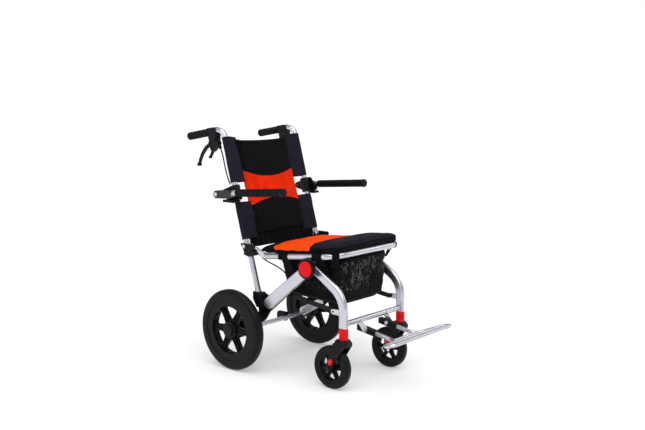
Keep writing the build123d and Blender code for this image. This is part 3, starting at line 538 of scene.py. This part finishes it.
def puffed(name, node, shrink, voxel, cap, material, body):
    """Padded copy of a CAD solid: remeshed, blown up as cloth, its swelling capped, then smoothed."""
    source = frame["nodes"][node]
    data = source.data.copy()
    data.name = name
    data.materials.clear()
    item = bpy.data.objects.new(name, data)
    bpy.context.scene.collection.objects.link(item)
    low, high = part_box(node)
    middle = (low + high) / 2
    shape = bmesh.new()
    shape.from_mesh(data)
    bmesh.ops.remove_doubles(shape, verts=shape.verts, dist=1e-5)
    shape.to_mesh(data)
    shape.free()
    for vertex in data.vertices:
        vertex.co = middle + Vector(a * b for a, b in zip(vertex.co - middle, shrink))
    remesh = item.modifiers.new("remesh", "REMESH")
    remesh.mode = "VOXEL"
    remesh.voxel_size = voxel
    relax = item.modifiers.new("relax", "SMOOTH")
    relax.factor = 0.5
    relax.iterations = 4
    apply_modifiers(item)
    before = [vertex.co.copy() for vertex in item.data.vertices]
    cloth = item.modifiers.new("cloth", "CLOTH")
    cloth.settings.use_pressure = True
    cloth.settings.uniform_pressure_force = 4.0
    cloth.settings.effector_weights.gravity = 0.0
    scene = bpy.context.scene
    for step in range(1, 21):
        scene.frame_set(step)
    apply_modifiers(item)
    scene.frame_set(1)
    for vertex, start in zip(item.data.vertices, before):
        moved = vertex.co - start
        if moved.length > cap:
            vertex.co = start + moved * (cap / moved.length)
    subdivide(item)
    item.data.materials.append(material)
    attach(item, body)
    return item


# ------------------------------------------------------------------ seat
def make_seat():
    """Crowned cushion with an orange panel and a raised pad across the front."""
    item = puffed(
        "seat_pad", "seat_cushion", (0.985, 0.985, 0.80), 0.0048, 0.007,
        seat_cloth(), "frame",
    )
    low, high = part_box("seat_cushion")
    step_y = fore(ORANGE_FRONT)
    half = (high.x - low.x) / 2
    for vertex in item.data.vertices:
        spot = vertex.co
        forward = AXLE.y - spot.y
        floor = rail_z(forward) + 0.0125
        above = smooth(floor + 0.008, floor + 0.018, spot.z)
        raised = smooth(-0.001, 0.0035, step_y - spot.y)
        spot.z += above * (0.004 * raised - 0.0045 * (1 - raised))
        beside = smooth(0.085, 0.178, abs(spot.x))
        spot.z -= above * beside * (0.0085 - 0.0055 * raised)
        seam = exp(-((spot.y - step_y - 0.0015) / 0.0022) ** 2)
        spot.z -= 0.0025 * above * seam
        rim = abs(spot.x) - (half - 0.007)
        piping = exp(-(rim / 0.0022) ** 2) * above
        spot.z -= 0.0016 * piping
        crease = noise.noise(Vector((spot.x * 9, spot.y * 26, 3.1)))
        crease += 0.5 * noise.noise(Vector((spot.x * 30, spot.y * 60, 7.7)))
        spot.z += 0.0011 * crease * above
        spot.y += 0.008 * smooth(0.15, 0.09, forward)
        outside = smooth(half - 0.030, half - 0.004, abs(spot.x)) * smooth(0.470, 0.430, forward)
        outside *= smooth(0.115, 0.150, forward)
        spot.x += (0.0095 if spot.x > 0 else -0.0095) * outside
        hanging = smooth(floor + 0.012, floor - 0.002, spot.z)
        spot.z -= 0.0085 * outside * hanging
    item.data.update()
    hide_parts("seat_cushion")


# ------------------------------------------------------------------ backrest
def lean_back(height):
    """How far the sling hangs behind the tubes: nothing low down, most at its upper edge."""
    return LEAN * smooth(LEAN_FROM, LEAN_TO, height)


def make_back_panel():
    """Padded sling with a sewn border, a band across it and an upper edge that sags."""
    item = puffed(
        "back_pad", "back_panel", (0.985, 0.93, 0.99), 0.0046, 0.007,
        back_cloth(), "backrest",
    )
    for vertex in item.data.vertices:
        spot = vertex.co
        bow = 1 - (spot.x / PANEL_HALF) ** 2
        near_top = smooth(0.60, 0.865, spot.z)
        spot -= BACK_UP * (0.006 * bow * near_top ** 3)
        middle = on_back(spot.x, spot.z)
        depth = (spot - middle).dot(BACK_AFT) + 0.005
        front = smooth(0.0, -0.006, depth)
        back = smooth(0.0, 0.006, depth)
        border = exp(-((abs(spot.x) - BORDER_HALF) / 0.0028) ** 2)
        head = exp(-((spot.z - BORDER_TOP + 0.006 * bow) / 0.0028) ** 2)
        foot = exp(-((spot.z - BORDER_LOW) / 0.0028) ** 2)
        inside = smooth(BORDER_HALF + 0.003, BORDER_HALF - 0.002, abs(spot.x))
        groove = max(border, head * inside, foot * inside)
        spot += BACK_AFT * (0.0032 * groove * front)
        spot -= BACK_AFT * (0.0020 * border * back)
        top = BAND_TOP + BAND_TOP_RISE * (spot.x / PANEL_HALF) ** 2
        bottom = BAND_BOTTOM - BAND_BOTTOM_DROP * (spot.x / PANEL_HALF) ** 2
        for height in (top, bottom):
            spot += BACK_AFT * (0.0014 * front * exp(-((spot.z - height) / 0.0022) ** 2))
        crease = noise.noise(Vector((spot.x * 14, spot.z * 16, 1.3)))
        crease += 0.5 * noise.noise(Vector((spot.x * 40, spot.z * 34, 5.2)))
        spot -= BACK_AFT * (0.0009 * crease * front)
        spot += BACK_AFT * (0.006 + lean_back(spot.z))
        over_tube = exp(-((spot.z - CROSS_TUBE_Z) / CROSS_TUBE_REACH) ** 2)
        over_tube *= smooth(0.095, 0.125, abs(spot.x))
        spot -= BACK_AFT * (0.0075 * front * over_tube)
    item.data.update()
    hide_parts("back_panel")


def sleeve_section(side, height, steps=40):
    """Closed outline of a sleeve across the tube: round outside, thin towards the panel."""
    inner, centre, radius = PANEL_HALF - 0.018, BACK_TUBE_X, 0.0132
    thin = 0.0036 + 0.0068 * exp(-((height - CROSS_TUBE_Z) / CROSS_TUBE_REACH) ** 2)
    outline = []
    for step in range(steps):
        turn = 2 * pi * step / steps
        if cos(turn) >= 0:
            x, depth = centre + radius * cos(turn), radius * sin(turn)
        else:
            along = -cos(turn)
            x = centre - (centre - inner) * along ** 0.9
            half = radius * (1 - along) + thin * along
            depth = half * (1 if sin(turn) >= 0 else -1) * min(1.0, 1.6 * sqrt(abs(sin(turn))))
            depth += (0.0005 + lean_back(height)) * smooth(0.1, 1.0, along)
        outline.append((side * x, depth))
    return outline


def make_sleeves():
    """Fabric sleeves pulled over the backrest tubes, with a gap at the armrest clamps."""
    cloth = plain_cloth("sleeve cloth", CHARCOAL, axes=(0, 2))
    for word, side in SIDES:
        for part, low, high in SLEEVES:
            loops = []
            rows = 46 if part == "upper" else 40
            for row in range(rows + 1):
                share = row / rows
                height = low + (high - low) * share
                hem = 0.0007 * (smooth(0.06, 0.02, share) + smooth(0.94, 0.98, share))
                seam = exp(-((share - 0.075) / 0.012) ** 2) + exp(-((share - 0.925) / 0.012) ** 2)
                loop = []
                for x, depth in sleeve_section(side, height):
                    off = Vector((x - side * 0.172, depth + 0.005)).normalized()
                    wave = noise.noise(Vector((x * 38, height * 30, depth * 60)))
                    wave += 0.6 * noise.noise(Vector((x * 80, height * 14, 4.0 + depth * 90)))
                    free = smooth(0.0, 0.15, share) * smooth(1.0, 0.85, share)
                    grow = hem - 0.0010 * seam + 0.0012 * wave * free
                    loop.append(on_back(x + off.x * grow, height, depth + off.y * grow))
                loops.append(loop)
            item = rings(f"sleeve_{part}_{word}", loops, cloth, "backrest")
            subdivide(item)
            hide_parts("back_sleeves")


def make_skirt():
    """Gathered flounce from the panel's lower edge down behind the cushion."""
    cloth = plain_cloth("skirt cloth", BLACK_CLOTH, axes=(0, 2))
    half, top, bottom = 0.178, 0.502, 0.459
    columns, rows = 300, 14
    vertices = []
    for row in range(rows + 1):
        fall = row / rows
        height = top + (bottom - top) * fall
        for column in range(columns + 1):
            across = -1 + 2 * column / columns
            sway = 0.35 * noise.noise(Vector((across * 6, fall * 1.2, 2.0)))
            fold = sin(46 * across + 3.0 * sway + 1.7 * sin(7 * across))
            sharp = fold * (0.7 + 0.3 * abs(fold))
            depth = -0.0015 + 0.0038 * sharp * smooth(-0.1, 0.35, fall)
            depth -= 0.002 * fall
            droop = 0.0022 * noise.noise(Vector((across * 9, 5.0, 0.0))) * fall
            vertices.append(on_back(across * half, height + droop, depth))
    faces = quads(rows + 1, columns + 1, open_loop=True)
    item = piece("back_skirt_gathers", vertices, faces, cloth, "backrest")
    thicken(item, 0.0012)
    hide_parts("back_skirt")


# ------------------------------------------------------------------ storage bag
BAG_REAR_TOP, BAG_FRONT_TOP = (0.140, 0.425), (0.440, 0.449)
BAG_REAR_LOW, BAG_FRONT_LOW = (0.184, 0.299), (0.435, 0.287)
BAG_HALF_TOP, BAG_HALF_LOW = 0.138, 0.130
HANG_AT = (0.220, 0.378)


def make_bag():
    """Sack of crinkled mesh that hangs from the rails: its sides sag between the straps."""
    around, rows = 260, 46
    loops = []
    for row in range(rows + 1):
        fall = row / rows
        drop = fall ** 0.9
        rear = BAG_REAR_TOP[0] + (BAG_REAR_LOW[0] - BAG_REAR_TOP[0]) * drop
        front = BAG_FRONT_TOP[0] + (BAG_FRONT_LOW[0] - BAG_FRONT_TOP[0]) * drop
        half = BAG_HALF_TOP + (BAG_HALF_LOW - BAG_HALF_TOP) * fall
        middle, length = (rear + front) / 2, (front - rear) / 2
        round_low = smooth(0.86, 1.0, fall)
        loop = []
        for step in range(around):
            turn = 2 * pi * step / around
            corner = 0.26
            x = abs(cos(turn)) ** corner * (1 if cos(turn) >= 0 else -1)
            f = abs(sin(turn)) ** corner * (1 if sin(turn) >= 0 else -1)
            forward = middle + f * length
            share = (forward - BAG_REAR_TOP[0]) / (BAG_FRONT_TOP[0] - BAG_REAR_TOP[0])
            high = BAG_REAR_TOP[1] + (BAG_FRONT_TOP[1] - BAG_REAR_TOP[1]) * share
            low = BAG_REAR_LOW[1] + (BAG_FRONT_LOW[1] - BAG_REAR_LOW[1]) * share
            held = max(exp(-((forward - spot) / 0.028) ** 2) for spot in HANG_AT)
            sag = 0.013 * (1 - held) * abs(x) ** 8 * (1 - fall)
            height = high + (low - high) * fall - sag
            swell = 0.004 * sin(pi * min(1.0, fall * 1.05)) - 0.016 * round_low ** 2
            place = Vector((x * (half + swell), fore(forward + f * swell), height))
            rough = noise.ridged_multi_fractal(
                Vector((place.x * 24, place.y * 24, place.z * 30)), 0.9, 2.1, 4, 1.0, 2.0
            ) - 1.0
            fold = noise.noise(Vector((place.x * 12, place.y * 20, place.z * 9)))
            loose = smooth(0.0, 0.12, fall) * (1 - 0.6 * smooth(0.62, 0.75, fall))
            out = Vector((x, -f * 0.9, 0)).normalized()
            place += out * (0.0024 * rough + 0.0042 * fold) * loose
            loop.append(place)
        loops.append(loop)
    floor_steps = 10
    base = loops[-1]
    centre = sum(base, Vector()) / len(base)
    for ring in range(1, floor_steps + 1):
        share = ring / floor_steps
        loop = []
        for place in base:
            spot = place.lerp(centre, share * 0.97)
            spot.z -= 0.004 * sin(pi * share / 2)
            spot.z += 0.002 * noise.noise(Vector((spot.x * 18, spot.y * 18, 0.5))) * sin(pi * share)
            loop.append(spot)
        loops.append(loop)
    count = len(base)
    vertices = [point for loop in loops for point in loop]
    faces = quads(len(loops), count)
    faces.append(tuple((len(loops) - 1) * count + step for step in range(count)))
    item = piece("bag_shell", vertices, faces, mesh_cloth(), "frame")
    thicken(item, 0.0011)
    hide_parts("storage_bag")
    make_bag_binding(loops[0])


def make_bag_binding(rim):
    """Bound edge round the bag's mouth."""
    cloth = plain_cloth("binding", BLACK_CLOTH, axes=(1, 2))
    count = len(rim)
    loops = []
    for step, spot in enumerate(rim):
        ahead = (rim[(step + 1) % count] - rim[step - 1]).normalized()
        side = ahead.cross(Vector((0, 0, 1))).normalized()
        loop = []
        for part in range(10):
            turn = 2 * pi * part / 10
            loop.append(spot + side * (0.0022 * cos(turn)) + Vector((0, 0, 0.0055 * sin(turn))))
        loops.append(loop)
    rings("bag_binding", loops, cloth, "frame", closed=True)


def strap_path(low_out, low_z):
    """Strap seen end on: up from the bag, over the rail at (0, 0) and back down to itself."""
    radius = TUBE_R + 0.0016
    path = [(low_out, low_z)]
    start, stop = radians(200), radians(-115)
    steps = 26
    for step in range(steps + 1):
        turn = start + (stop - start) * step / steps
        path.append((radius * cos(turn), radius * sin(turn)))
    path.append((low_out + 0.0022, low_z))
    return path


def make_straps():
    """Wide webbing that wraps the rails and the front corners and runs down to the bag."""
    cloth = plain_cloth("webbing", BLACK_CLOTH, pitch=0.0016, axes=(1, 2))
    columns = 12
    places = [(RAIL_X, forward, 0.0, 0.042, -0.042, -0.070) for forward in HANG_AT]
    places.append((0.168, 0.441, radians(45), 0.026, -0.028, -0.045))
    for word, side in SIDES:
        for index, (rail_x, forward, yaw, width, low_out, low_z) in enumerate(places):
            middle = Vector((side * rail_x, fore(forward), rail_z(forward)))
            outward = Vector((side * cos(yaw), -sin(yaw), 0))
            along = Vector((side * sin(yaw), cos(yaw), -tan(SEAT_SLOPE) * cos(yaw)))
            loops = []
            for column in range(columns + 1):
                share = column / columns
                shift = (share - 0.5) * width
                ripple = 0.0006 * sin(share * 9 + index * 2.1 + side)
                edge = 0.0005 * (smooth(0.08, 0.0, share) + smooth(0.92, 1.0, share))
                loop = []
                for out, rise in strap_path(low_out, low_z):
                    away = Vector((out, rise))
                    away *= (ripple if away.length > 0.02 else edge) / away.length
                    spot = middle + outward * (out + away.x) + along * shift
                    loop.append(spot + Vector((0, 0, rise + away.y)))
                loops.append(loop)
            item = rings(
                f"strap_{word}_{index + 1}", loops, cloth, "frame", cap=False, open_loop=True,
            )
            thicken(item, 0.0013)
            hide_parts("bag_loops")


# ------------------------------------------------------------------ grips and pads
# one rib of the grip: share of the pitch, radius
GRIP_RIB = ((0.0, 0.0137), (0.22, 0.0139), (0.38, 0.0149), (0.78, 0.0149), (0.94, 0.0139))


def make_grips():
    """Ribbed hand grips with a flange and a rounded end."""
    rubber = moulded("grip rubber", *BLACK_TONES, 0.5, 0.7, 1600, 0.4)
    low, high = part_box("handle_grips")
    slope = radians(9.2)
    length = 0.112 / cos(slope)
    for word, side in SIDES:
        along = Vector((0, cos(slope), -sin(slope)))
        end = Vector((side * BACK_TUBE_X, high.y - 0.015 * sin(slope), low.z + 0.015 * cos(slope)))
        start = end - along * length
        profile = [(0.0, 0.0117), (0.0, 0.0155), (0.0008, 0.0166), (0.0050, 0.0168), (0.0058, 0.0160)]
        ribs, first, last = 21, 0.0085, length - 0.010
        pitch = (last - first) / ribs
        for rib in range(ribs):
            start_rib = first + rib * pitch
            for share, radius in GRIP_RIB:
                profile.append((start_rib + share * pitch, radius))
        profile += [(last, 0.0137), (last + 0.001, 0.0149), (length - 0.004, 0.0150)]
        for step in range(1, 9):
            turn = pi / 2 * step / 8
            profile.append((length - 0.004 + 0.004 * sin(turn), 0.0110 + 0.0040 * cos(turn)))
        profile.append((length, 0.0005))
        item = turned(f"grip_{word}", start, end, profile, rubber, "backrest")
        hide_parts("handle_grips")


def make_arm_pads():
    """Foam tubes on the armrest bars, with a larger rounded end cap."""
    skin = foam()
    cap_plastic = moulded("pad end cap", *BLACK_TONES, 0.35, 0.5)
    for word, side in SIDES:
        low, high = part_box(f"armrest_pad_{word}")
        slope = radians(4.2)
        x = (low.x + high.x) / 2
        start = Vector((x, high.y, low.z)) + Vector((0, -0.0145 * sin(slope), 0.0145 * cos(slope)))
        end = Vector((x, low.y, high.z)) + Vector((0, 0.0155 * sin(slope), -0.0155 * cos(slope)))
        length = (end - start).length
        profile = [(0.0, 0.0087)]
        for step in range(7):
            turn = pi / 2 * step / 6
            profile.append((0.003 - 0.003 * cos(turn), 0.0113 + 0.0030 * sin(turn)))
        count = 60
        for step in range(1, count):
            share = step / count
            dent = 0.00035 * noise.noise(Vector((share * 9, 0.3 * side, 1.0)))
            profile.append((0.003 + share * (length - 0.019), 0.0144 + dent))
        profile += [(length - 0.0155, 0.0144), (length - 0.0148, 0.0137)]
        pad = turned(f"arm_foam_{word}", start, end, profile, skin, f"armrest_{word}")
        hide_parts(f"armrest_pad_{word}")
        ends = [(length - 0.0148, 0.0137), (length - 0.0145, 0.0150), (length - 0.0135, 0.0155)]
        ends += [(length - 0.0045, 0.0155)]
        for step in range(1, 9):
            turn = pi / 2 * step / 8
            ends.append((length - 0.0045 + 0.0045 * sin(turn), 0.0110 + 0.0045 * cos(turn)))
        ends.append((length, 0.0005))
        turned(f"arm_cap_{word}", start, end, ends, cap_plastic, f"armrest_{word}")


# ------------------------------------------------------------------ carried-over CAD nodes
def dress_frame():
    """Materials for the CAD nodes that stay."""
    plastic = moulded("black moulded plastic", *BLACK_TONES, 0.34, 0.5)
    wheel_plastic = moulded("wheel plastic", *BLACK_TONES, 0.28, 0.42)
    red = moulded("red plastic", *RED_TONES, 0.28, 0.42, 1200, 0.15)
    sheath = moulded("cable sheath", (0.003, 0.003, 0.003), (0.007, 0.007, 0.007), 0.3, 0.45)
    metal, bolts, paint = aluminium(), steel(), powder_coat()
    cap_mix, arm_mix = cap_and_axle(), housing_and_bar()
    by_slot = {
        "aluminium": metal, "steel": bolts, "black_paint": paint, "black_plastic": plastic,
        "red_plastic": red, "cable_sheath": sheath, "grip_rubber": plastic, "foam": plastic,
    }
    slots = {entry["node"]: entry["material_slot"] for entry in frame["record"]["subparts"]}
    for name, item in frame["nodes"].items():
        if name.startswith(("rear_tyre", "caster_tyre")):
            chosen = tyre_rubber(f"tyre {name}", name)
        elif name.startswith(("rear_rim", "caster_rim")):
            chosen = wheel_plastic
        elif name.startswith("caster_axle"):
            chosen = cap_mix
        elif name.startswith("armrest_frame"):
            chosen = arm_mix
        elif name == "tip_pedals":
            chosen = sheath
        else:
            chosen = by_slot.get(slots[name], plastic)
        item.data.materials.clear()
        item.data.materials.append(chosen)


# ------------------------------------------------------------------ studio
def make_studio():
    """Pale paper floor that runs into a white backdrop, with even light from above and three lamps."""
    floor_data = bpy.data.meshes.new("floor")
    reach = 40.0
    floor_data.from_pydata(
        [(-reach, -reach, 0), (reach, -reach, 0), (reach, reach, 0), (-reach, reach, 0)], [], [(0, 1, 2, 3)],
    )
    floor = bpy.data.objects.new("floor", floor_data)
    bpy.context.scene.collection.objects.link(floor)
    nodes = Nodes("floor paper", Roughness=1.0)
    nodes.specular(0.0)
    nodes.colour(nodes.mix(nodes.noise(3, 2), (0.66, 0.66, 0.67), (0.68, 0.68, 0.69)))
    nodes.shader.inputs["Emission Color"].default_value = (1, 1, 1, 1)
    nodes.shader.inputs["Emission Strength"].default_value = 0.30
    floor_data.materials.append(nodes.material)
    world = bpy.data.worlds.new("studio")
    bpy.context.scene.world = world
    world.use_nodes = True
    tree = world.node_tree
    lighting = tree.nodes["Background"]
    lighting.inputs["Color"].default_value = (1.0, 1.0, 1.0, 1)
    lighting.inputs["Strength"].default_value = 0.50
    backdrop = tree.nodes.new("ShaderNodeBackground")
    backdrop.inputs["Color"].default_value = (1.0, 1.0, 1.0, 1)
    backdrop.inputs["Strength"].default_value = 1.0
    seen = tree.nodes.new("ShaderNodeLightPath")
    chosen = tree.nodes.new("ShaderNodeMixShader")
    tree.links.new(seen.outputs["Is Camera Ray"], chosen.inputs[0])
    tree.links.new(lighting.outputs[0], chosen.inputs[1])
    tree.links.new(backdrop.outputs[0], chosen.inputs[2])
    tree.links.new(chosen.outputs[0], tree.nodes["World Output"].inputs[0])
    bpy.context.scene.view_settings.view_transform = "Standard"
    sky_data = bpy.data.lights.new("overhead", "SUN")
    sky_data.energy = 2.1
    sky_data.angle = radians(70)
    sky = bpy.data.objects.new("overhead", sky_data)
    bpy.context.scene.collection.objects.link(sky)
    sky.rotation_euler = Vector((0.25, 0.30, -1.0)).to_track_quat("-Z", "Y").to_euler()
    target = Vector((0, 0, 0.45))
    for name, place, size, power in (
        ("key", (-2.4, -2.2, 2.2), 1.4, 14),
        ("side", (-2.6, 1.6, 1.4), 1.0, 8),
        ("far", (2.6, -1.4, 1.8), 1.2, 8),
    ):
        lamp_data = bpy.data.lights.new(name, "AREA")
        lamp_data.size = size
        lamp_data.energy = power
        lamp = bpy.data.objects.new(name, lamp_data)
        bpy.context.scene.collection.objects.link(lamp)
        lamp.location = place
        lamp.rotation_euler = (target - Vector(place)).to_track_quat("-Z", "Y").to_euler()


dress_frame()
make_seat()
make_back_panel()
make_sleeves()
make_skirt()
make_bag()
make_straps()
make_grips()
make_arm_pads()
make_studio()
